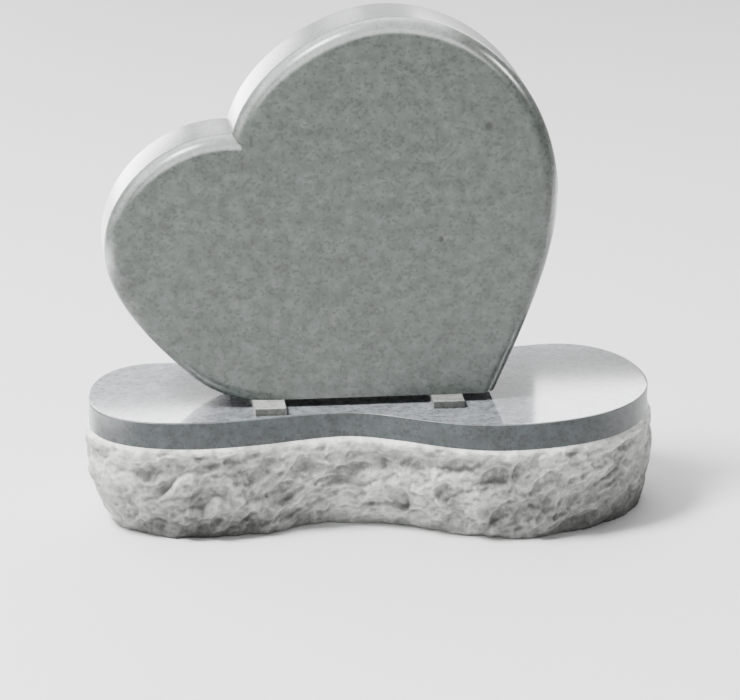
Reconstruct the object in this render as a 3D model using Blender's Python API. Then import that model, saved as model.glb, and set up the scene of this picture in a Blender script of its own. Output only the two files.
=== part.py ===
import math

import bmesh
import bpy
import numpy as np

# Headstone: a heart-shaped tablet standing on two spacers on a lobed base.
# Metres, +Z up, the face towards -Y. The origin is under the middle of the whole stone.

# Base
BASE_LENGTH = 0.914          # polished top, end to end
BASE_HEIGHT = 0.203
LEFT_LOBE_DEPTH = 0.318      # front to back
RIGHT_LOBE_DEPTH = 0.416
WAIST_DEPTH = 0.237
LEFT_LOBE_SETBACK = 0.011    # the left lobe sits this much further back
MARGIN_HEIGHT = 0.044        # smooth band under the polished top
MARGIN_DIP = 0.004           # the band is this much narrower where it dips

# Rock-pitched face under the margin
LEDGE_PROUD = 0.004          # how far the rock stands out from the margin at its top edge
LEDGE_HEIGHT = 0.005         # slope from the margin out to the rock
ROCK_PROUD = 0.011           # how far it stands out where it bellies most
TAPER_HEIGHT = 0.095         # height of the belly, below which the rock draws in to the foot
TAPER_CURVE = 1.2            # 1 draws it in along a straight line, more along a rounder one
CALM_HEIGHT = 0.030          # the roughness fades over this much below the margin
CALM_LEAST = 0.15            # share of the roughness that is left at the margin
SCAR_LENGTH = 0.095          # one large flake scar
SCAR_HEIGHT = 0.060
SCAR_DEPTH = 0.018
SCAR_SEED = 11
FLAKE_LENGTH = 0.042         # smaller flakes inside the scars
FLAKE_HEIGHT = 0.026
FLAKE_DEPTH = 0.008
FLAKE_SEED = 5
SCAR_LEAN = math.radians(28)

# Tablet
TABLET_WIDTH = 0.7215
TABLET_HEIGHT = 0.613
TABLET_THICKNESS = 0.152
TABLET_ARRIS = 0.027         # radius of the rounded front and back edges
TABLET_SHIFT = -0.0675       # tablet's middle, left of the base's middle
TABLET_SETBACK = 0.034       # tablet's face behind the front of the waist

# Spacers between base and tablet
SPACER_WIDTH = 0.050
SPACER_THICKNESS = 0.0127
SPACER_LENGTH = 0.178
LEFT_SPACER_INSET = 0.055    # spacer's middle, in from the end of the tablet's bed
RIGHT_SPACER_INSET = 0.081
LEFT_SPACER_SHOWS = 0.040    # length that shows in front of the tablet
RIGHT_SPACER_SHOWS = 0.032

GAP = 0.0003                 # between stones that touch

# Fineness of the solids
GIRTH_POINTS = 176
ROCK_ROWS = 12
HEART_POINTS = 100
ARRIS_STEPS = 4
CURVE_POINTS = 60            # on each stretch of an outline, before it is evenly spaced

# Plan of the base: its eight outermost points, anticlockwise from the left end.
# Place along the length as a share of it, side (-1 front, 0 end, 1 back), stretch, then how far
# the curve runs straight before and after the point as a share of the way to its neighbour.
PLAN = (
    ("left end", -0.500, 0, "left", 0.55, 0.68),
    ("left front", -0.315, -1, "left", 0.64, 0.33),
    ("front waist", -0.065, -1, "waist", 0.33, 0.30),
    ("right front", 0.212, -1, "right", 0.43, 0.68),
    ("right end", 0.500, 0, "right", 0.50, 0.45),
    ("right back", 0.360, 1, "right", 0.70, 0.28),
    ("back waist", -0.016, 1, "waist", 0.29, 0.34),
    ("left back", -0.370, 1, "left", 0.32, 0.67),
)
END_SETBACK = {"left end": -0.009, "right end": 0.021}

# The rock at each point of the plan and halfway on to the next: how far the foot is drawn in,
# how rough the face is, and how much of its dip the margin has.
ROCK = (
    (0.042, 0.30, 1.0), (0.044, 0.60, 0.6),
    (0.018, 1.00, 0.0), (0.014, 1.00, 0.0),
    (0.045, 1.00, 0.9), (0.046, 1.00, 1.0),
    (0.034, 1.00, 0.2), (0.026, 0.60, 0.0),
    (0.014, 0.05, 1.0), (0.026, 0.40, 0.5),
    (0.030, 0.70, 0.0), (0.030, 0.70, 0.5),
    (0.030, 0.70, 1.0), (0.026, 0.70, 0.5),
    (0.022, 0.70, 0.0), (0.028, 0.50, 0.5),
)

# Outline of the heart, anticlockwise from the right end of its bed: place as shares of width
# and height, heading on arrival and on leaving in degrees, and reach of the curve before and
# after the point as shares of the width.
HEART = (
    ("bed right", 0.364, 0.000, 66, 66, 0.000, 0.151),
    ("right side", 0.500, 0.525, 90, 90, 0.138, 0.207),
    ("crown", 0.129, 1.000, 180, 180, 0.218, 0.140),
    ("notch", -0.217, 0.705, 256, 178, 0.140, 0.144),
    ("left side", -0.500, 0.404, 270, 270, 0.138, 0.105),
    ("left slope", -0.343, 0.094, 316, 316, 0.083, 0.048),
    ("bed left", -0.221, 0.000, 342, 342, 0.062, 0.000),
)


def clear_scene():
    for item in list(bpy.data.objects):
        bpy.data.objects.remove(item, do_unlink=True)


def bezier(start, reach_out, reach_in, end, count):
    t = np.linspace(0.0, 1.0, count, endpoint=False)[:, None]
    u = 1.0 - t
    return u**3 * start + 3 * u * u * t * reach_out + 3 * u * t * t * reach_in + t**3 * end


def spread(values, at, new_at):
    return np.column_stack([np.interp(new_at, at, column) for column in values.T])


def even_steps(points, count, closed):
    """The same curve with its points evenly spaced, and each one's distance along it."""
    if closed:
        points = np.vstack([points, points[:1]])
    at = np.concatenate([[0.0], np.cumsum(np.linalg.norm(np.diff(points, axis=0), axis=1))])
    new_at = np.linspace(0.0, at[-1], count, endpoint=not closed)
    return spread(points, at, new_at), new_at, at[-1]


def outward_normals(points, closed):
    """Unit normals to the right of the way the outline runs."""
    if closed:
        ahead = np.roll(points, -1, axis=0) - np.roll(points, 1, axis=0)
    else:
        ahead = np.gradient(points, axis=0)
    ahead /= np.linalg.norm(ahead, axis=1)[:, None]
    return np.column_stack([ahead[:, 1], -ahead[:, 0]])


def base_plan():
    """Plan of the polished top: its points, each one's distance along, the girth and the rock."""
    depth = {"left": LEFT_LOBE_DEPTH, "right": RIGHT_LOBE_DEPTH, "waist": WAIST_DEPTH}
    middle = {"left": LEFT_LOBE_SETBACK, "right": 0.0, "waist": 0.0}
    places = []
    for name, share, side, stretch in (row[:4] for row in PLAN):
        y = END_SETBACK[name] if side == 0 else middle[stretch] + side * depth[stretch] / 2
        places.append(np.array([share * BASE_LENGTH, y]))
    curve = []
    for here, row in enumerate(PLAN):
        after = (here + 1) % len(PLAN)
        way = places[after] - places[here]
        leave = np.array([0.0, way[1]]) if row[2] == 0 else np.array([way[0], 0.0])
        arrive = np.array([0.0, way[1]]) if PLAN[after][2] == 0 else np.array([way[0], 0.0])
        curve.append(bezier(places[here], places[here] + leave * row[5],
                            places[after] - arrive * PLAN[after][4], places[after], CURVE_POINTS))
    curve = np.vstack(curve)
    plan, at, girth = even_steps(curve, GIRTH_POINTS, closed=True)
    steps = np.linalg.norm(np.roll(curve, -1, axis=0) - curve, axis=1)
    mark_at = np.concatenate([[0.0], np.cumsum(steps)])[::CURVE_POINTS // 2]
    rock = spread(np.array(ROCK + ROCK[:1]), mark_at, at)
    return plan, at, girth, rock


def scars(at, height, girth, length, tall, seed):
    """Flake scars: 0 on the ridges between them and -1 in the middle of a full one."""
    rng = np.random.default_rng(seed)
    columns = max(4, round(girth / length))
    rows = math.ceil(BASE_HEIGHT / tall) + 2
    column, row = np.meshgrid(np.arange(columns), np.arange(rows) - 1)
    column = column.ravel()
    row = row.ravel()
    stray = rng.uniform(-0.4, 0.4, row.size)
    centre_at = (column + 0.5 * (row % 2) + stray) * girth / columns
    centre_up = (row + rng.uniform(0.1, 0.9, row.size)) * tall
    fullness = rng.uniform(0.6, 1.0, row.size)
    near = np.full(at.shape, np.inf)
    for lap in (-girth, 0.0, girth):
        for place, up, full in zip(centre_at + lap, centre_up, fullness):
            away = at - place
            rise = height - up
            along = (away * math.cos(SCAR_LEAN) + rise * math.sin(SCAR_LEAN)) / length
            across = (rise * math.cos(SCAR_LEAN) - away * math.sin(SCAR_LEAN)) / tall
            near = np.minimum(near, along**2 + across**2 + 0.4 * (1.0 - full))
    return -np.clip(1.0 - near, 0.0, 1.0)


def rock_face(at, height, girth, rock, lip):
    """How far the rock stands out from the margin's line, at a place along and a height."""
    foot, rough, _ = rock.T
    bellied = np.clip((lip - height) / (lip - TAPER_HEIGHT), 0.0, 1.0)
    drawn_in = np.clip((TAPER_HEIGHT - height) / TAPER_HEIGHT, 0.0, 1.0) ** TAPER_CURVE
    calm = np.clip((lip - height) / CALM_HEIGHT, CALM_LEAST, 1.0)
    flaked = SCAR_DEPTH * scars(at, height, girth, SCAR_LENGTH, SCAR_HEIGHT, SCAR_SEED)
    flaked += FLAKE_DEPTH * scars(at, height, girth, FLAKE_LENGTH, FLAKE_HEIGHT, FLAKE_SEED)
    proud = LEDGE_PROUD + (ROCK_PROUD - LEDGE_PROUD) * bellied
    return proud + rough * calm * flaked - foot * drawn_in


def skin_rings(bm, rings):
    """Closed skin over a stack of equal rings, with a flat face at each end."""
    made = [[bm.verts.new(point) for point in ring] for ring in rings]
    for lower, upper in zip(made, made[1:]):
        for i in range(len(lower)):
            j = (i + 1) % len(lower)
            bm.faces.new((lower[i], lower[j], upper[j], upper[i]))
    bm.faces.new(list(reversed(made[0])))
    bm.faces.new(made[-1])


def finish_object(name, bm, colour, roughness, smooth_angle):
    mesh = bpy.data.meshes.new(name)
    bm.normal_update()
    bm.to_mesh(mesh)
    bm.free()
    if smooth_angle:
        mesh.shade_smooth()
        mesh.set_sharp_from_angle(angle=smooth_angle)
    item = bpy.data.objects.new(name, mesh)
    bpy.context.scene.collection.objects.link(item)
    material = bpy.data.materials.new(name + "_stone")
    material.use_nodes = True
    shader = material.node_tree.nodes["Principled BSDF"]
    shader.inputs["Base Color"].default_value = (*colour, 1.0)
    shader.inputs["Roughness"].default_value = roughness
    shader.inputs["Metallic"].default_value = 0.0
    mesh.materials.append(material)
    return item


def make_base():
    plan, at, girth, rock = base_plan()
    normals = outward_normals(plan, closed=True)
    lip = BASE_HEIGHT - MARGIN_HEIGHT + MARGIN_DIP * rock[:, 2]
    rings = []
    for share in np.linspace(0.0, 1.0, ROCK_ROWS + 1):
        height = share * (lip - LEDGE_HEIGHT)
        out = rock_face(at, height, girth, rock, lip)
        rings.append(np.column_stack([plan + normals * out[:, None], height]))
    for height in (lip, np.full(at.shape, BASE_HEIGHT)):
        rings.append(np.column_stack([plan, height]))
    every = np.vstack(rings)
    centre = (every.min(axis=0) + every.max(axis=0)) / 2
    centre[2] = 0.0
    bm = bmesh.new()
    skin_rings(bm, [ring - centre for ring in rings])
    return finish_object("base", bm, (0.36, 0.37, 0.37), 0.5, math.radians(20)), centre


def heading(degrees):
    return np.array([math.cos(math.radians(degrees)), math.sin(math.radians(degrees))])


def heart_outline():
    """Open outline of the heart, run on past both ends of its bed to be cut off there."""
    places = [np.array([row[1] * TABLET_WIDTH, row[2] * TABLET_HEIGHT]) for row in HEART]
    first = heading(HEART[0][4])
    last = heading(HEART[-1][3])
    lead_in = places[0] - first * 2 * TABLET_ARRIS / first[1]
    run_out = places[-1] + last * 2 * TABLET_ARRIS / -last[1]
    notch = next(i for i, row in enumerate(HEART) if row[0] == "notch")
    halves = []
    for start, stop in ((0, notch), (notch, len(HEART) - 1)):
        curve = []
        for here in range(start, stop):
            leave = heading(HEART[here][4]) * HEART[here][6] * TABLET_WIDTH
            arrive = heading(HEART[here + 1][3]) * HEART[here + 1][5] * TABLET_WIDTH
            curve.append(bezier(places[here], places[here] + leave,
                                places[here + 1] - arrive, places[here + 1], CURVE_POINTS))
        halves.append(np.vstack(curve + [places[stop][None]]))
    share = np.array([len(half) for half in halves]) / sum(len(half) for half in halves)
    right, _, _ = even_steps(halves[0], round(HEART_POINTS * share[0]), closed=False)
    left, _, _ = even_steps(halves[1], round(HEART_POINTS * share[1]), closed=False)
    return np.vstack([lead_in, right]), np.vstack([left, run_out])


def inset_heart(right, left, inset):
    """The heart drawn in by an even width, with a mitre at its notch."""
    right_normals = outward_normals(right, closed=False)
    left_normals = outward_normals(left, closed=False)
    right_in = right - inset * right_normals
    left_in = left - inset * left_normals
    between = right_normals[-1] + left_normals[0]
    mitre = right[-1] - inset * between * 2 / (between @ between)
    return np.vstack([right_in[:-1], mitre, left_in[1:]])


def make_tablet(centre):
    right, left = heart_outline()
    bed = BASE_HEIGHT + GAP + SPACER_THICKNESS + GAP
    face = -WAIST_DEPTH / 2 + TABLET_SETBACK
    rings = []
    turns = np.linspace(0.0, math.pi / 2, ARRIS_STEPS + 1)
    for turn in turns:
        inset = TABLET_ARRIS * (1.0 - math.sin(turn))
        back = TABLET_ARRIS * (1.0 - math.cos(turn))
        rings.append((inset, back))
    rings += [(inset, TABLET_THICKNESS - back) for inset, back in reversed(rings)]
    bm = bmesh.new()
    skins = []
    for inset, back in rings:
        outline = inset_heart(right, left, inset)
        across = outline[:, 0] + TABLET_SHIFT - centre[0]
        deep = np.full(len(outline), face + back - centre[1])
        skins.append(np.column_stack([across, deep, outline[:, 1] + bed]))
    skin_rings(bm, skins)
    bmesh.ops.recalc_face_normals(bm, faces=bm.faces)
    whole = list(bm.verts) + list(bm.edges) + list(bm.faces)
    bmesh.ops.bisect_plane(bm, geom=whole, dist=1e-6, plane_co=(0.0, 0.0, bed),
                           plane_no=(0.0, 0.0, -1.0), clear_outer=True)
    rim = [edge for edge in bm.edges if edge.is_boundary]
    bmesh.ops.edgeloop_fill(bm, edges=rim)
    bmesh.ops.recalc_face_normals(bm, faces=bm.faces)
    return finish_object("tablet", bm, (0.25, 0.26, 0.26), 0.45, math.radians(40))


def make_spacer(name, middle, shows, centre):
    face = -WAIST_DEPTH / 2 + TABLET_SETBACK
    low = np.array([middle - SPACER_WIDTH / 2, face - shows, BASE_HEIGHT + GAP])
    high = low + (SPACER_WIDTH, SPACER_LENGTH, SPACER_THICKNESS)
    low -= centre
    high -= centre
    bm = bmesh.new()
    bmesh.ops.create_cube(bm, size=1.0)
    for vert in bm.verts:
        vert.co = [high[k] if vert.co[k] > 0 else low[k] for k in range(3)]
    return finish_object(name, bm, (0.55, 0.55, 0.54), 0.8, 0.0)


def make_spacers(centre):
    bed_left = HEART[-1][1] * TABLET_WIDTH + TABLET_SHIFT
    bed_right = HEART[0][1] * TABLET_WIDTH + TABLET_SHIFT
    make_spacer("spacer_left", bed_left + LEFT_SPACER_INSET, LEFT_SPACER_SHOWS, centre)
    make_spacer("spacer_right", bed_right - RIGHT_SPACER_INSET, RIGHT_SPACER_SHOWS, centre)


def main():
    clear_scene()
    _, centre = make_base()
    make_tablet(centre)
    make_spacers(centre)


main()
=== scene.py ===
import math

import bpy
import numpy as np
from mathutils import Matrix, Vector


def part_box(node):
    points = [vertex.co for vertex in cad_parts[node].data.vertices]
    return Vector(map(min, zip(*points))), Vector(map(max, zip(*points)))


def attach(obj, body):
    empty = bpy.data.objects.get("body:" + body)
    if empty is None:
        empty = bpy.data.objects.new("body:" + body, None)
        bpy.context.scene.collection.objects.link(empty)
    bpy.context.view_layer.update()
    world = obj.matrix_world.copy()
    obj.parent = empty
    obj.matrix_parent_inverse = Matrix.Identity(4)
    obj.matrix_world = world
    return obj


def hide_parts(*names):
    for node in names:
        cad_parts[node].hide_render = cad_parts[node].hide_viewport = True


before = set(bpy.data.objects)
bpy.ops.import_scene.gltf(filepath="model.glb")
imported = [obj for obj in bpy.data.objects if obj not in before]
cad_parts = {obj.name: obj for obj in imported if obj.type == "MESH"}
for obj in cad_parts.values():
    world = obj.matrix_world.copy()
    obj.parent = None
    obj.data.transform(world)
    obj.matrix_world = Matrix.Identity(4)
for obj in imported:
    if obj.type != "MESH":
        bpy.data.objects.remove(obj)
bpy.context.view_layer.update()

# Headstone of grey granite: a heart-shaped tablet on two sawn strips on a lobed base.
# Metres, +Z up, the tablet's face towards -Y.


def hexColour(text):  # sRGB hex to linear
    srgb = [int(text[i:i + 2], 16) / 255 for i in (1, 3, 5)]
    return [c / 12.92 if c <= 0.04045 else ((c + 0.055) / 1.055) ** 2.4 for c in srgb] + [1.0]


def addNode(tree, kind, inputs=None, **settings):  # a socket is linked, anything else is set
    node = tree.nodes.new(kind)
    for key, value in settings.items():
        setattr(node, key, value)
    for key, value in (inputs or {}).items():
        if isinstance(value, bpy.types.NodeSocket):
            tree.links.new(value, node.inputs[key])
        else:
            node.inputs[key].default_value = value
    return node


# Camera: it stands to the left of the face and a little above, 5.5 m off.
cameraPlace = {
    "azimuth": -6.1,
    "elevation": 17.6,
    "distance": 5.5,
    "pixelsPerMetre": 625.4,
    "target": (-0.0443, -0.0845, 0.2163),
    "targetPixel": (350.0, 397.3),
    "imageSize": (740, 700),
}


def makeCamera():
    turn, lift = math.radians(cameraPlace["azimuth"]), math.radians(cameraPlace["elevation"])
    right = np.array([math.cos(turn), math.sin(turn), 0.0])
    ahead = np.array([-math.sin(turn) * math.cos(lift), math.cos(turn) * math.cos(lift), -math.sin(lift)])
    up = np.cross(right, ahead)
    focal = cameraPlace["pixelsPerMetre"] * cameraPlace["distance"]
    width, height = cameraPlace["imageSize"]
    aside = (cameraPlace["targetPixel"][0] - width / 2) / focal
    below = (cameraPlace["targetPixel"][1] - height / 2) / focal
    place = np.array(cameraPlace["target"]) - cameraPlace["distance"] * (ahead + aside * right - below * up)
    data = bpy.data.cameras.new("camera")
    data.sensor_width = 36.0
    data.sensor_fit = "HORIZONTAL"
    data.lens = focal / width * data.sensor_width
    data.clip_end = 50.0
    camera = bpy.data.objects.new("camera", data)
    bpy.context.scene.collection.objects.link(camera)
    matrix = np.identity(4)
    matrix[:3, 0], matrix[:3, 1], matrix[:3, 2], matrix[:3, 3] = right, up, -ahead, place
    camera.matrix_world = matrix.T
    bpy.context.scene.camera = camera


makeCamera()
print("camera placed")


# Surfaces

def bezier(start, reachOut, reachIn, end, count):
    # Cubic curve from start towards end, with end left off. With t from 0 to 1 and u = 1 - t, each
    # point is the sum of start, two handles and end, weighted by u^3, 3u^2t, 3ut^2 and t^3.
    t = np.linspace(0.0, 1.0, count, endpoint=False)[:, None]
    u = 1.0 - t
    return u**3 * start + 3 * u * u * t * reachOut + 3 * u * t * t * reachIn + t**3 * end


def spread(values, at, newAt):  # each column of values read off at new places along
    return np.column_stack([np.interp(newAt, at, column) for column in values.T])


def evenSteps(points, count, closed):  # the same curve with its points evenly spaced
    if closed:
        points = np.vstack([points, points[:1]])
    at = np.concatenate([[0.0], np.cumsum(np.linalg.norm(np.diff(points, axis=0), axis=1))])
    newAt = np.linspace(0.0, at[-1], count, endpoint=not closed)
    return spread(points, at, newAt), newAt, at[-1]


def outwardNormals(points, closed):  # to the right of the way the outline runs
    if closed:
        ahead = np.roll(points, -1, axis=0) - np.roll(points, 1, axis=0)
    else:
        ahead = np.gradient(points, axis=0)
    ahead /= np.linalg.norm(ahead, axis=1)[:, None]
    return np.column_stack([ahead[:, 1], -ahead[:, 0]])


def ringSkin(name, rings, rowFinish, capFinish, finishes, nodes):
    # Closed skin: ring r and step s around give one point each, neighbouring rings are joined by
    # four-cornered faces, and a flat face closes the first and the last ring.
    rows, around = rings.shape[:2]
    step = np.arange(around)
    after = (step + 1) % around
    low = (np.arange(rows - 1) * around)[:, None]
    quads = np.stack([low + step, low + after, low + around + after, low + around + step], axis=-1)
    loops = np.concatenate([quads.ravel(), step[::-1], step + (rows - 1) * around])
    quadCount = (rows - 1) * around
    starts = np.concatenate([np.arange(quadCount) * 4, [quadCount * 4, quadCount * 4 + around]])
    slots = np.concatenate([np.repeat(rowFinish, around), capFinish])
    mesh = bpy.data.meshes.new(name)
    mesh.vertices.add(rows * around)
    mesh.vertices.foreach_set("co", rings.astype(np.float32).ravel())
    mesh.loops.add(len(loops))
    mesh.loops.foreach_set("vertex_index", loops.astype(np.int32))
    mesh.polygons.add(len(starts))
    mesh.polygons.foreach_set("loop_start", starts.astype(np.int32))
    mesh.polygons.foreach_set("material_index", slots.astype(np.int32))
    mesh.update(calc_edges=True)
    mesh.shade_smooth()
    for finish in finishes:
        mesh.materials.append(finish)
    piece = bpy.data.objects.new(name, mesh)
    bpy.context.scene.collection.objects.link(piece)
    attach(piece, "root")
    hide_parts(*nodes)
    return piece


# Granite finishes. The stone is a grey biotite granite: grey quartz and paler feldspar with flecks
# of black mica between them, and mottles about two centimetres wide. Its crystals are about 2.5 mm,
# too fine to show, so they are drawn nearly twice as large.
graniteGrain = {
    "crystal": 0.0045,
    "bend": 0.8,              # crystal edges wander this far, in crystals
    "bendRate": 0.6,          # and this many times to a crystal
    "micaShare": 0.14,        # of all crystals
    "quartzAfter": 0.06,      # quartz is full this far past the mica
    "feldsparFrom": 0.95,     # and has turned into feldspar here
    "cloud": 0.018,
    "cloudDepth": 0.27,
    "cloudSpan": (0.3, 0.7),  # levels of the noise where a mottle is darkest and palest
    "knotCore": 0.4,          # share of a knot's radius that is darkest
    "knotTone": 0.25,
}


def graniteFinish(name, look):
    # Each crystal draws the colour of one of three stones, and the mottles, the piece's own painted light
    # and shade with its bruising, and any knots scale it. The grit is how long and how deep the surface's
    # own unevenness is, in metres.
    material = bpy.data.materials.new(name)
    material.use_nodes = True
    tree = material.node_tree
    shader = tree.nodes["Principled BSDF"]
    shader.inputs["Roughness"].default_value = look["roughness"]
    shader.inputs["IOR"].default_value = 1.54  # quartz and feldspar
    shader.inputs["Specular IOR Level"].default_value = look.get("specular", 0.5)
    where = addNode(tree, "ShaderNodeTexCoord").outputs["Object"]
    crystal = graniteGrain["crystal"]
    wander = addNode(tree, "ShaderNodeTexNoise", {
        "Vector": where, "Scale": graniteGrain["bendRate"] / crystal, "Detail": 2.0})
    bent = addNode(tree, "ShaderNodeVectorMath", {
        0: wander.outputs["Color"], 1: (graniteGrain["bend"] * crystal,) * 3, 2: where},
        operation="MULTIPLY_ADD")
    crystals = addNode(tree, "ShaderNodeTexVoronoi", {"Vector": bent.outputs[0], "Scale": 1.0 / crystal})
    draw = addNode(tree, "ShaderNodeSeparateColor", {"Color": crystals.outputs["Color"]})
    stones = addNode(tree, "ShaderNodeValToRGB", {"Fac": draw.outputs[0]})
    ramp = stones.color_ramp
    ramp.elements[0].position = graniteGrain["micaShare"]
    ramp.elements[0].color = hexColour(look["mica"])
    ramp.elements[1].position = graniteGrain["feldsparFrom"]
    ramp.elements[1].color = hexColour(look["feldspar"])
    middle = ramp.elements.new(graniteGrain["micaShare"] + graniteGrain["quartzAfter"])
    middle.color = hexColour(look["quartz"])
    clouds = addNode(tree, "ShaderNodeTexNoise", {
        "Vector": where, "Scale": 1.0 / graniteGrain["cloud"], "Detail": 3.0})
    darkest, palest = graniteGrain["cloudSpan"]
    shade = addNode(tree, "ShaderNodeMapRange", {
        "Value": clouds.outputs[0], "From Min": darkest, "From Max": palest,
        "To Min": 1.0 - graniteGrain["cloudDepth"], "To Max": 1.0 + graniteGrain["cloudDepth"]})
    strength = shade.outputs[0]
    if look.get("withPaintedLight"):  # the piece's own attribute: painted shade in the hollows, creases, foot and right end, painted highlight on the lip, bruised edges
        paintedLightAndBruise = addNode(tree, "ShaderNodeAttribute", attribute_name="paintedLightAndBruise")
        strength = addNode(tree, "ShaderNodeMath", {0: strength, 1: paintedLightAndBruise.outputs["Fac"]},
                           operation="MULTIPLY").outputs[0]
    for knot, radius in look.get("knots", ()):  # mica gathered in a dark knot
        away = addNode(tree, "ShaderNodeVectorMath", {0: where, 1: knot}, operation="DISTANCE")
        dark = addNode(tree, "ShaderNodeMapRange", {
            "Value": away.outputs["Value"], "From Min": graniteGrain["knotCore"] * radius,
            "From Max": radius, "To Min": graniteGrain["knotTone"]})
        strength = addNode(tree, "ShaderNodeMath", {0: strength, 1: dark.outputs[0]},
                           operation="MULTIPLY").outputs[0]
    tinted = addNode(tree, "ShaderNodeVectorMath", {0: stones.outputs["Color"], "Scale": strength},
                     operation="SCALE")
    tree.links.new(tinted.outputs[0], shader.inputs["Base Color"])
    grit = addNode(tree, "ShaderNodeTexNoise", {"Vector": where, "Scale": 1.0 / look["grit"], "Detail": 4.0})
    bump = addNode(tree, "ShaderNodeBump", {
        "Height": grit.outputs[0], "Strength": 1.0, "Distance": look["gritDepth"]})
    tree.links.new(bump.outputs[0], shader.inputs["Normal"])
    return material


# Base
baseStone = {
    "length": 0.914,          # polished top, end to end
    "height": 0.203,
    "leftDepth": 0.318,
    "rightDepth": 0.416,
    "waistDepth": 0.237,
    "leftSetback": 0.011,     # the left lobe sits this much further back
    "marginHeight": 0.044,    # smooth band under the polished top
    "marginDip": 0.004,       # it is this much narrower where its lower edge rises most
    "topArris": 0.0018,       # rounded edge of the polished top
    "around": 1040,           # points round the plan
    "rockRows": 72,
    "edgeSteps": 4,           # rings in the ledge and in the top's arris
    "footHem": 0.004,         # flat rings beside the sharp turns: at the foot,
    "marginHem": 0.0015,      # over the ledge
    "topHem": 0.003,          # and inside the arris
}

# The rock-pitched face, in metres. Flakes are the wide bowls that the hammer left, facets the tilted
# planes of broken stone over them: depth, length along, height and the seed of their draw.
rockFace = {
    "ledgeProud": 0.004,      # the rock stands out this far by the margin
    "ledgeHeight": 0.005,
    "proud": 0.011,           # and this far lower down
    "taperHeight": 0.095,     # below this height it draws in to the foot
    "taperCurve": 1.2,
    "calmHeight": 0.030,      # flakes fade out over this height under the lip
    "calmLeast": 0.15,
    "lean": math.radians(28),
    "flakes": ((0.018, 0.095, 0.060, 11), (0.008, 0.042, 0.026, 5)),
    "flakeStray": 0.4,        # bowls stray this share of their spacing along the face
    "flakeUp": (0.1, 0.9),    # and lie between these shares of their row
    "flakeFull": (0.6, 1.0),  # how full a bowl is
    "flakeLoss": 0.4,         # depth lost by an empty one
    "facets": ((0.0090, 0.050, 0.036, 3), (0.0065, 0.024, 0.018, 8), (0.0034, 0.011, 0.009, 13)),
    "facetLean": 0.7,         # the facets' rows shift sideways this far for each metre up
    "facetStray": 0.45,       # a facet's seed strays this far from the middle of its cell
    "facetStep": 0.5,         # steps between facets, as a share of their depth
    "wander": ((0.010, 0.055, 31), (0.004, 0.014, 33)),  # breaks bend this far, over this length
    "crumble": (0.0010, 0.006, 21),  # torn crystals: depth, length and seed
    "chipCalm": 0.008,        # facets and scars fade out over this height under the lip
    "footCalm": 0.022,        # and over this height above the floor, where the block was levelled
    "lipLeast": 0.1,          # what is left of them at the lip,
    "footLeast": 0.25,        # at the floor
    "smoothLeast": 0.2,       # and where the face is not rough
    "lipFlare": 0.006,
    "lipHeight": 0.008,
    "flareFade": 0.03,        # the flare dies out over this height below the lip
    "lipPaintedLight": 1.6,           # painted highlight: the lip and ledge are lightest, facing up to the light
    "rim": 0.15,              # raised rim of a front scar, as a share of its depth
    "rimWidth": 0.16,         # and as a share of its size
    "scarMiddle": 0.65,       # share of its depth at the middle of a front scar
    "scarUpper": 0.7,         # and the share that is added up to its upper edge
    "scarLowest": -0.8,
    "paintedPitShade": 0.65,          # painted shade darkens the hollows
    "pitReach": (5, 20),      # a hollow is lower on average over few points than over many
    "pitDepth": 0.006,        # and one this deep gets the full painted shade
    "bruiseAndCreaseShade": 0.20,       # bruised crystals whiten the edges of the breaks, and painted shade darkens the creases
    "bruiseReach": 2,
    "bruiseDepth": 0.0012,
    "paintedShadeHeight": 0.115,     # painted shade darkens the stone from this height to its foot
    "paintedShadeCurve": 0.7,        # fast at first, then slower
}

# The scars that show most on the front, left to right: middle along the base and above the floor,
# length, height and depth in metres, and lean in degrees.
frontScars = (
    ("left pit", -0.400, 0.070, 0.024, 0.034, 0.007, 70),
    ("long hollow", -0.352, 0.121, 0.104, 0.034, 0.011, 6),
    ("lower left bowl", -0.265, 0.060, 0.095, 0.085, 0.009, 60),
    ("slanted scar", -0.180, 0.112, 0.070, 0.030, 0.009, 30),
    ("small shelf", -0.145, 0.078, 0.060, 0.024, 0.006, 20),
    ("waist shelf", -0.070, 0.083, 0.080, 0.026, 0.010, 4),
    ("waist scoop", 0.010, 0.060, 0.050, 0.050, 0.006, 40),
    ("high chip", 0.065, 0.118, 0.038, 0.026, 0.007, 10),
    ("middle chip", 0.100, 0.082, 0.044, 0.026, 0.007, 15),
    ("low slant", 0.115, 0.040, 0.064, 0.018, 0.006, 24),
    ("dark scoop", 0.182, 0.118, 0.052, 0.028, 0.009, 5),
    ("crack", 0.214, 0.112, 0.080, 0.012, 0.007, 72),
    ("first streak", 0.238, 0.075, 0.110, 0.014, 0.005, 66),
    ("second streak", 0.262, 0.070, 0.105, 0.013, 0.005, 62),
    ("third streak", 0.286, 0.072, 0.095, 0.015, 0.005, 66),
    ("right band", 0.385, 0.136, 0.130, 0.030, 0.008, 10),
    ("right bowl", 0.370, 0.070, 0.110, 0.060, 0.007, 20),
)

# Plan of the base through these points: place along as a share of the length, side (-1 the front,
# 0 an end), the stretch that it belongs to, and the curve's reach before and after the point, as
# shares of the way to its neighbours.
planPoints = (
    ("left end", -0.500, 0, "left", 0.55, 0.68),
    ("left front", -0.315, -1, "left", 0.64, 0.33),
    ("front waist", -0.065, -1, "waist", 0.33, 0.30),
    ("right front", 0.212, -1, "right", 0.43, 0.68),
    ("right end", 0.500, 0, "right", 0.50, 0.45),
    ("right back", 0.360, 1, "right", 0.70, 0.28),
    ("back waist", -0.016, 1, "waist", 0.29, 0.34),
    ("left back", -0.370, 1, "left", 0.32, 0.67),
)
endSetback = {"left end": -0.009, "right end": 0.021}
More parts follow.
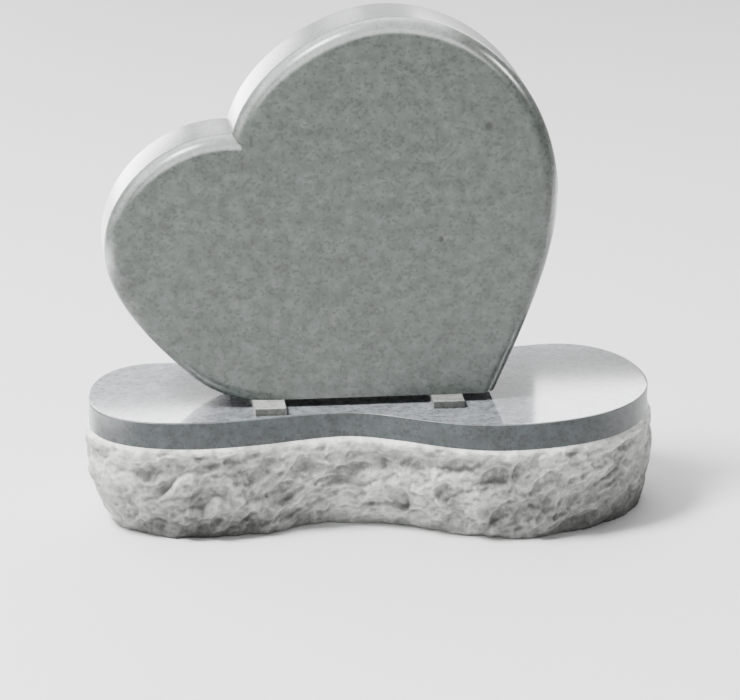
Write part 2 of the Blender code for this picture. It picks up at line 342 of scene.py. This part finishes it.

# At each point of the plan and halfway on: foot drawn in, roughness, dip of the margin, the foot's painted
# shade, and painted light and shade over the whole face, lighter at the left and darkest at the right end.
rockPoints = (
    (0.042, 0.30, 1.0, 0.85, 1.00), (0.044, 0.60, 0.6, 0.42, 1.03),
    (0.018, 1.00, 0.0, 0.14, 1.04), (0.014, 1.00, 0.0, 0.30, 1.03),
    (0.045, 1.00, 0.9, 0.70, 1.00), (0.046, 1.00, 1.0, 0.72, 1.00),
    (0.034, 1.00, 0.2, 0.48, 0.94), (0.026, 0.60, 0.0, 0.24, 0.78),
    (0.014, 0.05, 1.0, 0.24, 0.78), (0.026, 0.40, 0.5, 0.50, 0.95),
    (0.030, 0.70, 0.0, 0.65, 1.00), (0.030, 0.70, 0.5, 0.75, 1.00),
    (0.030, 0.70, 1.0, 0.80, 1.00), (0.026, 0.70, 0.5, 0.75, 1.00),
    (0.022, 0.70, 0.0, 0.65, 1.00), (0.028, 0.50, 0.5, 0.75, 1.00),
)
curvePoints = 60  # points of the curve between two of the plan's


def basePlan():
    # A cubic curve joins each two points. It runs along the base where it meets them, but across it
    # at the ends, and the values of rockPoints are blended evenly between their places on the plan.
    depth = {stretch: baseStone[stretch + "Depth"] for stretch in ("left", "right", "waist")}
    middle = {"left": baseStone["leftSetback"], "right": 0.0, "waist": 0.0}
    places = []
    for name, share, side, stretch in (row[:4] for row in planPoints):
        y = endSetback[name] if side == 0 else middle[stretch] + side * depth[stretch] / 2
        places.append(np.array([share * baseStone["length"], y]))
    curve = []
    for here, row in enumerate(planPoints):
        after = (here + 1) % len(planPoints)
        way = places[after] - places[here]
        leave = np.array([0.0, way[1]]) if row[2] == 0 else np.array([way[0], 0.0])
        arrive = np.array([0.0, way[1]]) if planPoints[after][2] == 0 else np.array([way[0], 0.0])
        curve.append(bezier(places[here], places[here] + leave * row[5],
                            places[after] - arrive * planPoints[after][4], places[after], curvePoints))
    curve = np.vstack(curve)
    plan, at, girth = evenSteps(curve, baseStone["around"], closed=True)
    steps = np.linalg.norm(np.roll(curve, -1, axis=0) - curve, axis=1)
    markAt = np.concatenate([[0.0], np.cumsum(steps)])[::curvePoints // 2]
    return plan, at, girth, spread(np.array(rockPoints + rockPoints[:1]), markAt, at)


def flakeScars(at, height, girth, length, tall, seed):
    # Each scar is a bowl, 1 minus the squared distance from its centre, on leaning oval axes.
    # The deepest bowl wins, which leaves sharp ridges between neighbours.
    rng = np.random.default_rng(seed)
    columns = round(girth / length)
    rows = math.ceil(baseStone["height"] / tall) + 2
    column, row = (grid.ravel() for grid in np.meshgrid(np.arange(columns), np.arange(rows) - 1))
    stray = rng.uniform(-rockFace["flakeStray"], rockFace["flakeStray"], row.size)
    centreAt = (column + 0.5 * (row % 2) + stray) * girth / columns
    centreUp = (row + rng.uniform(*rockFace["flakeUp"], row.size)) * tall
    fullness = rng.uniform(*rockFace["flakeFull"], row.size)
    near = np.full(at.shape, np.inf)
    cosLean, sinLean = math.cos(rockFace["lean"]), math.sin(rockFace["lean"])
    for place, up, full in zip(centreAt, centreUp, fullness):
        away = (at - place + girth / 2) % girth - girth / 2
        rise = height - up
        along = (away * cosLean + rise * sinLean) / length
        across = (rise * cosLean - away * sinLean) / tall
        np.minimum(near, along**2 + across**2 + rockFace["flakeLoss"] * (1.0 - full), out=near)
    return -np.clip(1.0 - near, 0.0, 1.0)


rowsBelow = 8.0  # rows of a lattice under the floor, for breaks that wander down past it


def wrappedNoise(at, height, girth, wide, tall, seed):
    # Smooth noise: random values on a lattice that closes round the girth, blended between
    # lattice points by the smooth step 3t^2 - 2t^3. It runs from -1 to 1.
    columns = round(girth / wide)
    x = at / girth * columns
    y = height / tall + rowsBelow
    rows = int(y.max()) + 2
    lattice = np.random.default_rng(seed).uniform(-1.0, 1.0, (rows, columns))
    left, low = np.floor(x).astype(int), np.floor(y).astype(int)
    tx, ty = x - left, y - low
    tx, ty = tx * tx * (3 - 2 * tx), ty * ty * (3 - 2 * ty)
    left %= columns
    right = (left + 1) % columns
    lower = lattice[low, left] * (1 - tx) + lattice[low, right] * tx
    upper = lattice[low + 1, left] * (1 - tx) + lattice[low + 1, right] * tx
    return lower * (1 - ty) + upper * ty


def brokenFacets(at, height, girth, length, tall, seed):
    # Every point lies on the tilted plane of the nearest of many scattered seeds, so neighbouring
    # planes meet in sharp steps. The seeds are one to a cell of a leaning lattice round the girth.
    columns = round(girth / length)
    x = (at - height * rockFace["facetLean"]) / girth * columns
    y = height / tall + rowsBelow
    rows = int(y.max()) + 3
    draw = np.random.default_rng(seed).uniform(-1.0, 1.0, (5, rows, columns))
    nearest = np.full(x.shape, np.inf)
    level = np.zeros(x.shape)
    for acrossCell in (-1, 0, 1):
        for upCell in (-1, 0, 1):
            cellX, cellY = np.floor(x).astype(int) + acrossCell, np.floor(y).astype(int) + upCell
            strayX, strayY, offset, tiltX, tiltY = draw[:, cellY, cellX % columns]
            awayX = x - cellX - 0.5 - rockFace["facetStray"] * strayX
            awayY = y - cellY - 0.5 - rockFace["facetStray"] * strayY
            distance = awayX**2 + awayY**2
            plane = rockFace["facetStep"] * offset + tiltX * awayX + tiltY * awayY
            level = np.where(distance < nearest, plane, level)
            nearest = np.minimum(nearest, distance)
    return level


def placedScars(at, height, plan):
    # Each scar is 1 minus the squared distance from its middle on its own oval axes, weighted to
    # be deepest by its upper edge, with a narrow raised rim where that distance is 1.
    front = int(np.argmax(plan[:, 0])) + 1
    relief = np.zeros(at.shape)
    for name, along, up, length, tall, deep, lean in frontScars:
        cosLean, sinLean = math.cos(math.radians(lean)), math.sin(math.radians(lean))
        away = at - np.interp(along, plan[:front, 0], at[0, :front])
        rise = height - up
        lengthways = (away * cosLean + rise * sinLean) / length * 2
        upwards = (rise * cosLean - away * sinLean) / tall * 2
        distance = np.hypot(lengthways, upwards)
        upper = np.clip(upwards, rockFace["scarLowest"], 1.0)
        weight = rockFace["scarMiddle"] + rockFace["scarUpper"] * upper
        relief -= deep * weight * np.sqrt(np.clip(1.0 - distance**2, 0.0, 1.0))
        relief += deep * rockFace["rim"] * np.exp(-((distance - 1.0) / rockFace["rimWidth"]) ** 2)
    return relief


def averaged(grid, reach):  # mean over a square of 2 reach + 1 steps, closed along the girth
    tall = np.pad(grid, ((reach, reach), (0, 0)), mode="edge")
    down = sum(tall[k:k + len(grid)] for k in range(2 * reach + 1))
    return sum(np.roll(down, k, axis=1) for k in range(-reach, reach + 1)) / (2 * reach + 1) ** 2


def rockStandsOut(at, height, girth, plan, rock, lip):
    # How far the rock stands out from the margin's line: its belly, its flare under the lip and the
    # relief, less what is drawn in towards the foot. The relief is also given by itself.
    foot, rough = rock[..., 0], rock[..., 1]
    drop = lip - height
    bellied = np.clip(drop / (lip - rockFace["taperHeight"]), 0.0, 1.0)
    drawnIn = np.clip((rockFace["taperHeight"] - height) / rockFace["taperHeight"], 0.0, 1.0)
    calm = np.clip(drop / rockFace["calmHeight"], rockFace["calmLeast"], 1.0)
    flaked = np.zeros(at.shape)
    for deep, length, tall, seed in rockFace["flakes"]:
        flaked += deep * flakeScars(at, height, girth, length, tall, seed)
    movedAt, movedUp = at, height
    for far, length, seed in rockFace["wander"]:
        movedAt = movedAt + far * wrappedNoise(at, height, girth, length, length, seed)
        movedUp = movedUp + far * wrappedNoise(at, height, girth, length, length, seed + 1)
    chipped = placedScars(movedAt, movedUp, plan)
    for deep, length, tall, seed in rockFace["facets"]:
        chipped += deep * averaged(brokenFacets(movedAt, movedUp, girth, length, tall, seed), 1)
    torn, length, seed = rockFace["crumble"]
    chipped += torn * wrappedNoise(at, height, girth, length, length, seed)
    chipCalm = rockFace["smoothLeast"] + (1.0 - rockFace["smoothLeast"]) * rough
    chipCalm = chipCalm * np.clip(drop / rockFace["chipCalm"], rockFace["lipLeast"], 1.0)
    chipCalm = chipCalm * np.clip(height / rockFace["footCalm"], rockFace["footLeast"], 1.0)
    flare = rockFace["lipFlare"] * np.clip(drop / rockFace["lipHeight"], 0.0, 1.0)
    flare *= np.clip(1.0 - (drop - rockFace["lipHeight"]) / rockFace["flareFade"], 0.0, 1.0)
    proud = rockFace["ledgeProud"] + (rockFace["proud"] - rockFace["ledgeProud"]) * bellied
    relief = rough * calm * flaked + chipCalm * chipped
    return proud + rough * flare + relief - foot * drawnIn**rockFace["taperCurve"], relief


def makeBase(centre, finishes):
    # Each ring is the plan moved along its outward normals by what that ring stands out, at the
    # ring's own height: rock from the floor up, the ledge, the margin, and a quarter circle that
    # rounds the edge of the top.
    topFinish, marginFinish, rockFinish = range(3)
    plan, at, girth, rock = basePlan()
    normals = outwardNormals(plan, closed=True)
    lip = baseStone["height"] - baseStone["marginHeight"] + baseStone["marginDip"] * rock[:, 2]
    share = np.linspace(0.0, 1.0, baseStone["rockRows"] + 1)[:, None]
    height = share * (lip - rockFace["ledgeHeight"])
    alongGrid = np.broadcast_to(at, height.shape)
    out, relief = rockStandsOut(alongGrid, height, girth, plan, rock[None], lip)
    near, wide = (averaged(relief, reach) for reach in rockFace["pitReach"])
    # painted shade in the hollows
    pits = np.clip((near - wide) / rockFace["pitDepth"], -1.0, 0.0)
    # crests lighter where crystals are bruised, creases darker as painted shade
    edge = relief - averaged(relief, rockFace["bruiseReach"])
    crestsAndCreases = np.clip(edge / rockFace["bruiseDepth"], -1.0, 1.0)
    # painted shade, darker towards the foot
    footShadeShare = (1.0 - np.clip(height / rockFace["paintedShadeHeight"], 0.0, 1.0)) ** rockFace["paintedShadeCurve"]
    lipShare = np.clip(1.0 - (lip - height) / (2 * rockFace["lipHeight"]), 0.0, 1.0)
    paintedLightAndBruise = (1.0 + (1.0 - rockFace["paintedPitShade"]) * pits) * (1.0 + rockFace["bruiseAndCreaseShade"] * crestsAndCreases)
    # painted light and shade along the face, darkest at the right end, times the painted shade at the foot
    paintedLightAndBruise *= rock[:, 4] * (1.0 - (1.0 - rock[:, 3]) * footShadeShare)
    # painted highlight on the lip
    paintedLightAndBruise *= 1.0 + (rockFace["lipPaintedLight"] - 1.0) * lipShare
    outs, heights, paintedLightAndBruiseRows = [out[0] - baseStone["footHem"], *out], [height[0], *height], [paintedLightAndBruise[0], *paintedLightAndBruise]
    rowFinish = [rockFinish] * (len(outs) - 1)
    # the ledge runs from the rock back to the margin's line
    for t in np.linspace(0.0, 1.0, baseStone["edgeSteps"] + 1)[1:]:
        outs.append(out[-1] * (1.0 - t))
        heights.append(height[-1] + (lip - height[-1]) * t)
        # painted highlight on the ledge
        paintedLightAndBruiseRows.append(np.full(len(at), rockFace["lipPaintedLight"]))
        rowFinish.append(rockFinish)
    still = np.zeros(len(at))
    arris = baseStone["topArris"]
    marginRows = [(0.0, lip + baseStone["marginHem"]), (0.0, still + baseStone["height"] - arris)]
    for turn in np.linspace(0.0, math.pi / 2, baseStone["edgeSteps"] + 1)[1:]:
        marginRows.append((arris * (math.cos(turn) - 1.0),
                           still + baseStone["height"] - arris * (1.0 - math.sin(turn))))
    marginRows.append((-arris - baseStone["topHem"], still + baseStone["height"]))
    for place, level in marginRows:
        outs.append(still + place)
        heights.append(level)
        paintedLightAndBruiseRows.append(still + 1.0)
        rowFinish.append(marginFinish)
    rowFinish[-1] = topFinish
    outs, heights = np.array(outs), np.array(heights)
    flat = plan[None] + normals[None] * outs[..., None]
    rings = np.concatenate([flat, heights[..., None]], axis=2) - centre
    piece = ringSkin("baseStone", rings, rowFinish, [rockFinish, topFinish], finishes,
                     ["base"])
    # the rock's colour attribute: painted light and shade, with the bruising of the crests
    attribute = piece.data.attributes.new("paintedLightAndBruise", "FLOAT", "POINT")
    attribute.data.foreach_set("value", np.array(paintedLightAndBruiseRows).astype(np.float32).ravel())
    return piece


# Tablet
tabletStone = {
    "width": 0.7215,
    "height": 0.613,
    "thickness": 0.152,
    "arris": 0.027,           # radius of the rounded front and back edges
    "shift": -0.0675,         # tablet's middle, left of the base's middle
    "setback": 0.034,         # tablet's face behind the front of the waist
    "around": 560,            # points round the outline
    "arrisSteps": 12,
    "faceHem": 0.004,         # flat ring inside the arris
    "sharpFrom": math.radians(35),  # steeper turns than this stay sharp, as at the bed
}

# Outline of the heart from the right end of its bed: place as shares of width and height,
# heading on arrival and on leaving, reach before and after the point as shares of the width.
heartPoints = (
    ("bed right", 0.364, 0.000, 66, 66, 0.000, 0.151),
    ("right side", 0.500, 0.525, 90, 90, 0.138, 0.207),
    ("crown", 0.129, 1.000, 180, 180, 0.218, 0.140),
    ("notch", -0.217, 0.705, 256, 178, 0.140, 0.144),
    ("left side", -0.500, 0.404, 270, 270, 0.138, 0.105),
    ("left slope", -0.343, 0.094, 316, 316, 0.083, 0.048),
    ("bed left", -0.221, 0.000, 342, 342, 0.062, 0.000),
)


def heading(degrees):
    return np.array([math.cos(math.radians(degrees)), math.sin(math.radians(degrees))])


def heartOutline():
    # Right and left half, parted at the notch. A cubic curve joins each two points, its handles along
    # their headings, and a straight run at each end goes on below the bed, which cuts it off later.
    width, height = tabletStone["width"], tabletStone["height"]
    places = [np.array([row[1] * width, row[2] * height]) for row in heartPoints]
    first = heading(heartPoints[0][4])
    last = heading(heartPoints[-1][3])
    leadIn = places[0] - first * 2 * tabletStone["arris"] / first[1]
    runOut = places[-1] + last * 2 * tabletStone["arris"] / -last[1]
    notch = next(i for i, row in enumerate(heartPoints) if row[0] == "notch")
    halves = []
    for start, stop in ((0, notch), (notch, len(heartPoints) - 1)):
        curve = []
        for here in range(start, stop):
            leave = heading(heartPoints[here][4]) * heartPoints[here][6] * width
            arrive = heading(heartPoints[here + 1][3]) * heartPoints[here + 1][5] * width
            curve.append(bezier(places[here], places[here] + leave,
                                places[here + 1] - arrive, places[here + 1], 4 * curvePoints))
        halves.append(np.vstack(curve + [places[stop][None]]))
    return np.vstack([leadIn, halves[0]]), np.vstack([halves[1], runOut])


def cutAtBed(half, count):  # keeps what is above the bed, evenly spaced
    above = half[:, 1] > 0
    first = int(np.argmax(above))
    last = len(half) - 1 - int(np.argmax(above[::-1]))
    kept = half[first:last + 1]
    if first > 0:
        a, b = half[first - 1], half[first]
        kept = np.vstack([a + (b - a) * a[1] / (a[1] - b[1]), kept])
    if last < len(half) - 1:
        a, b = half[last], half[last + 1]
        kept = np.vstack([kept, a + (b - a) * a[1] / (a[1] - b[1])])
    return evenSteps(kept, count, closed=False)[0]


def insetHeart(right, left, inset):  # drawn in by an even width, mitred at the notch
    rightNormals = outwardNormals(right, closed=False)
    leftNormals = outwardNormals(left, closed=False)
    between = rightNormals[-1] + leftNormals[0]
    mitre = right[-1] - inset * between * 2 / (between @ between)
    rightIn = np.vstack([(right - inset * rightNormals)[:-1], mitre])
    leftIn = np.vstack([mitre, (left - inset * leftNormals)[1:]])
    half = tabletStone["around"] // 2
    return np.vstack([cutAtBed(rightIn, half), cutAtBed(leftIn, half)[1:]])


def makeTablet(centre, bed, finish):
    # Each ring is the heart drawn in by an inset at a depth behind the face: a quarter circle of
    # such rings rounds the front arris, and the same one backwards rounds the back.
    right, left = heartOutline()
    arris = tabletStone["arris"]
    profile = [(arris + tabletStone["faceHem"], 0.0)]
    for turn in np.linspace(0.0, math.pi / 2, tabletStone["arrisSteps"] + 1):
        profile.append((arris * (1.0 - math.sin(turn)), arris * (1.0 - math.cos(turn))))
    profile += [(inset, tabletStone["thickness"] - back) for inset, back in reversed(profile)]
    face = -baseStone["waistDepth"] / 2 + tabletStone["setback"]
    rings = []
    for inset, back in profile:
        outline = insetHeart(right, left, inset)
        rings.append(np.column_stack([outline[:, 0] + tabletStone["shift"],
                                      np.full(len(outline), face + back), outline[:, 1] + bed]))
    rings = np.array(rings) - centre
    piece = ringSkin("tabletStone", rings, [0] * (len(rings) - 1), [0, 0], [finish],
                     ["tablet"])
    piece.data.set_sharp_from_angle(angle=tabletStone["sharpFrom"])
    return piece


# Strips between base and tablet. Each takes its size and place from its CAD node; the width and the
# inset of the left one only tell where the CAD's origin lies.
spacerStrip = {
    "width": 0.050,
    "leftInset": 0.055,       # strip's middle, in from the end of the tablet's bed
    "arris": 0.0009,
    "arrisBend": 0.3,         # share of the arris where its bend lies, in from both faces
    "endHem": 0.002,          # flat ring inside the arris of an end
    "around": 48,
    "sharpFrom": math.radians(50),
}


def makeSpacer(name, node, finishes):
    # A rounded rectangle carried along the strip's length, with its ends drawn in by the arris. Its
    # corners are quarter circles round a smaller rectangle, and past the arris it shrinks evenly.
    # the ends take the finish darkened as painted shade
    sawn, endsInShade = range(2)
    low, high = (np.array(corner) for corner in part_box(node))
    arris, around = spacerStrip["arris"], spacerStrip["around"]
    bend = arris * spacerStrip["arrisBend"]
    half = (high - low) / 2
    turn = (np.arange(around) + 0.5) / around * 2 * math.pi
    corner = np.column_stack([np.cos(turn), np.sin(turn)])
    core = np.sign(corner) * (half[[0, 2]] - arris)
    sections = []
    for inset, along in ((arris + spacerStrip["endHem"], 0.0), (arris, 0.0), (bend, bend), (0.0, arris)):
        shape = core + corner * (arris - min(inset, arris))
        more = max(inset - arris, 0.0)
        wide, tall = shape[:, 0] * (1 - more / half[0]), shape[:, 1] * (1 - more / half[2])
        sections.append(np.column_stack([wide, np.full(around, low[1] + along), tall]))
    sections += [section * (1, -1, 1) + (0, low[1] + high[1], 0) for section in sections[::-1]]
    rings = np.array(sections) + (low + high) / 2 * (1, 0, 1)
    rowFinish = [endsInShade] + [sawn] * (len(rings) - 3) + [endsInShade]
    piece = ringSkin(name, rings, rowFinish, [endsInShade, endsInShade], finishes, [node])
    piece.data.set_sharp_from_angle(angle=spacerStrip["sharpFrom"])
    return piece


# The shapes above start from the middle of the base, and the CAD from the middle of the whole
# stone's box: the boxes of two CAD nodes give the step between them.
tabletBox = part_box("tablet")
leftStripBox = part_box("spacer_left")
bedLeft = heartPoints[-1][1] * tabletStone["width"] + tabletStone["shift"]
centre = np.array([
    bedLeft + spacerStrip["leftInset"] - spacerStrip["width"] / 2 - leftStripBox[0][0],
    -baseStone["waistDepth"] / 2 + tabletStone["setback"] - tabletBox[0][1],
    0.0,
])

# Ground to a mirror: the sky and the tablet show in it, and the stone's own colour is deep.
polishedTop = graniteFinish("mirrorPolishedGranite", {
    "mica": "#62666a", "quartz": "#787c80", "feldspar": "#85898d",
    "roughness": 0.05, "grit": 0.004, "gritDepth": 0.00001})
# Ground smooth but not to a mirror, with a soft sheen: darker than broken stone, and darkened further as
# painted shade.
groundMarginInPaintedShade = graniteFinish("groundMarginGraniteInPaintedShade", {
    "mica": "#37393a", "quartz": "#3d4243", "feldspar": "#434a4b",
    "roughness": 0.30, "specular": 0.33, "grit": 0.004, "gritDepth": 0.00004})
# Split by hammer and pitching tool: every crystal is bruised, so it is the palest and fully matte.
rockPitched = graniteFinish("rockPitchedGranite", {
    "mica": "#b6b7b4", "quartz": "#bfc0bd", "feldspar": "#c9cac6",
    "roughness": 0.85, "specular": 0.1, "grit": 0.008, "gritDepth": 0.003, "withPaintedLight": True})
# Honed with fine grit: even mid grey with a satin sheen that turns bright where it is grazed, and
# two dark knots of mica on the face, each given by its place and radius.
honedTablet = graniteFinish("honedTabletGranite", {
    "mica": "#434a46", "quartz": "#4d5450", "feldspar": "#565d58",
    "roughness": 0.27, "grit": 0.004, "gritDepth": 0.00004,
    "knots": (((0.175, -0.085, 0.656), 0.009), ((0.101, -0.085, 0.474), 0.006))})
# Sawn strips of paler stone, left with the saw's fine matte marks. The right one is the same stone darkened
# as painted shade, and both are rougher at the ends, where they were snapped off, and darkened there as
# painted shade.
sawnStrip = graniteFinish("sawnPaleGranite", {
    "mica": "#8b8d8a", "quartz": "#949693", "feldspar": "#9d9f9b",
    "roughness": 0.4, "grit": 0.003, "gritDepth": 0.0003})
# the right strip: the pale stone darkened as painted shade
stripInPaintedShade = graniteFinish("sawnPaleGraniteInPaintedShade", {
    "mica": "#676966", "quartz": "#6f716e", "feldspar": "#777975",
    "roughness": 0.4, "grit": 0.003, "gritDepth": 0.0003})
# the strips' ends: rougher, and darkened as painted shade
stripEndsInPaintedShade = graniteFinish("roughPaleGraniteInPaintedShade", {
    "mica": "#4e504d", "quartz": "#565855", "feldspar": "#5e605d",
    "roughness": 0.7, "specular": 0.15, "grit": 0.004, "gritDepth": 0.0008})

makeBase(centre, [polishedTop, groundMarginInPaintedShade, rockPitched])
print("base made")
makeTablet(centre, tabletBox[0][2], honedTablet)
print("tablet made")
makeSpacer("stripLeft", "spacer_left", [sawnStrip, stripEndsInPaintedShade])
makeSpacer("stripRight", "spacer_right", [stripInPaintedShade, stripEndsInPaintedShade])
print("strips made")


# Floor and light
studio = {
    "floorSize": 40.0,
    "floorLevel": -0.0005,    # a hair under the stone
    "floorColour": "#f4f4f4",
    "floorRoughness": 0.9,
    "behind": 2.2,            # light from the white wall behind the stone
    "before": 0.12,           # and from the dim room in front of it
    "wallSpan": (-0.05, 0.3),  # how far back a direction points where the wall begins and is full
    "rightShare": 0.40,       # the room's light from the right, as a share of that from the left
    "rightSpan": (0.1, 0.6),  # how far right a direction points where it begins to fall and is least
    "keyPlace": (-3.0, -1.1, 6.0),
    "keyTarget": (0.0, 0.0, 0.2),
    "keySize": (1.6, 1.6),
    "keyBrightness": 130.0,
}

# White cards that show only in glossy stone: middle, the way each faces, size and brightness.
mirrorCards = (
    ("wallCardLow", (-1.58, 5.0, 0.41), (0, -1, 0), (1.65, 0.78), 24.0),
    ("wallCardHigh", (-1.58, 5.0, 1.18), (0, -1, 0), (1.65, 0.76), 13.0),
    ("lowCard", (-0.28, 5.0, 2.04), (0, -1, 0), (0.66, 0.26), 12.1),
    ("rightCard", (2.56, 5.0, 2.36), (0, -1, 0), (3.0, 1.0), 11.1),
    ("leftSheetNear", (-1.38, 0.6, 0.01), (0, 0, 1), (2.25, 0.6), 3.2),
    ("leftSheetFar", (-1.38, 2.7, 0.01), (0, 0, 1), (2.25, 3.6), 6.5),
    ("rightSheet", (2.1, 1.05, 0.01), (0, 0, 1), (1.8, 1.1), 5.5),
    ("leftFloorSheet", (-2.0, -0.15, 0.01), (0, 0, 1), (1.6, 1.6), 14.0),
    ("rightFloorSheet", (2.0, -0.1, 0.01), (0, 0, 1), (1.2, 1.0), 6.0),
    ("skyPanel", (-1.4, 0.3, 3.2), (0, 0, -1), (6.4, 5.6), 11.0),
    ("leftPanel", (-4.6, -0.75, 2.75), (1, 0, 0), (3.5, 3.5), 9.0),
    ("highFrontCard", (-0.5, -4.5, 3.5), (0, 1, 0), (8.0, 3.0), 16.0),
    ("glintCard", (3.7, -0.67, 2.7), (-0.86, 0.14, -0.5), (0.8, 0.8), 90.0),
)


def makeFloor():
    half, level = studio["floorSize"] / 2, studio["floorLevel"]
    mesh = bpy.data.meshes.new("floor")
    corners = [(-half, -half, level), (half, -half, level), (half, half, level), (-half, half, level)]
    mesh.from_pydata(corners, [], [(0, 1, 2, 3)])
    floor = bpy.data.objects.new("floor", mesh)
    bpy.context.scene.collection.objects.link(floor)
    paint = bpy.data.materials.new("palePaintedFloor")
    paint.use_nodes = True
    shader = paint.node_tree.nodes["Principled BSDF"]
    shader.inputs["Base Color"].default_value = hexColour(studio["floorColour"])
    shader.inputs["Roughness"].default_value = studio["floorRoughness"]
    mesh.materials.append(paint)


def makeWorld():
    world = bpy.data.worlds.new("studio")
    bpy.context.scene.world = world
    world.use_nodes = True
    tree = world.node_tree
    background = tree.nodes["Background"]
    direction = addNode(tree, "ShaderNodeTexCoord").outputs["Generated"]
    way = addNode(tree, "ShaderNodeSeparateXYZ", {0: direction})
    level = addNode(tree, "ShaderNodeMapRange", {
        "Value": way.outputs["Y"], "From Min": studio["wallSpan"][0], "From Max": studio["wallSpan"][1],
        "To Min": studio["before"], "To Max": studio["behind"]})
    aside = addNode(tree, "ShaderNodeMapRange", {
        "Value": way.outputs["X"], "From Min": studio["rightSpan"][0], "From Max": studio["rightSpan"][1],
        "To Min": 1.0, "To Max": studio["rightShare"]})
    both = addNode(tree, "ShaderNodeMath", {0: level.outputs[0], 1: aside.outputs[0]}, operation="MULTIPLY")
    tree.links.new(both.outputs[0], background.inputs["Strength"])
    background.inputs["Color"].default_value = (1.0, 1.0, 1.0, 1.0)


def makeAreaLight(name, place, facing, size, brightness, mirroredOnly):
    data = bpy.data.lights.new(name, "AREA")
    data.shape = "RECTANGLE"
    data.size, data.size_y = size
    data.energy = brightness * math.pi * size[0] * size[1]
    lamp = bpy.data.objects.new(name, data)
    bpy.context.scene.collection.objects.link(lamp)
    back = -np.array(facing, float)
    back /= np.linalg.norm(back)
    side = np.cross((0.0, 1.0, 0.0) if abs(back[2]) > 0.99 else (0.0, 0.0, 1.0), back)
    side /= np.linalg.norm(side)
    matrix = np.identity(4)
    matrix[:3, 0], matrix[:3, 1], matrix[:3, 2], matrix[:3, 3] = side, np.cross(back, side), back, place
    lamp.matrix_world = matrix.T
    lamp.visible_camera = False
    lamp.visible_diffuse = not mirroredOnly


makeFloor()
makeWorld()
keyFacing = np.array(studio["keyTarget"]) - np.array(studio["keyPlace"])
makeAreaLight("key", studio["keyPlace"], keyFacing, studio["keySize"], studio["keyBrightness"], False)
for name, place, facing, size, brightness in mirrorCards:
    makeAreaLight(name, place, facing, size, brightness, True)
print("stage and light made")
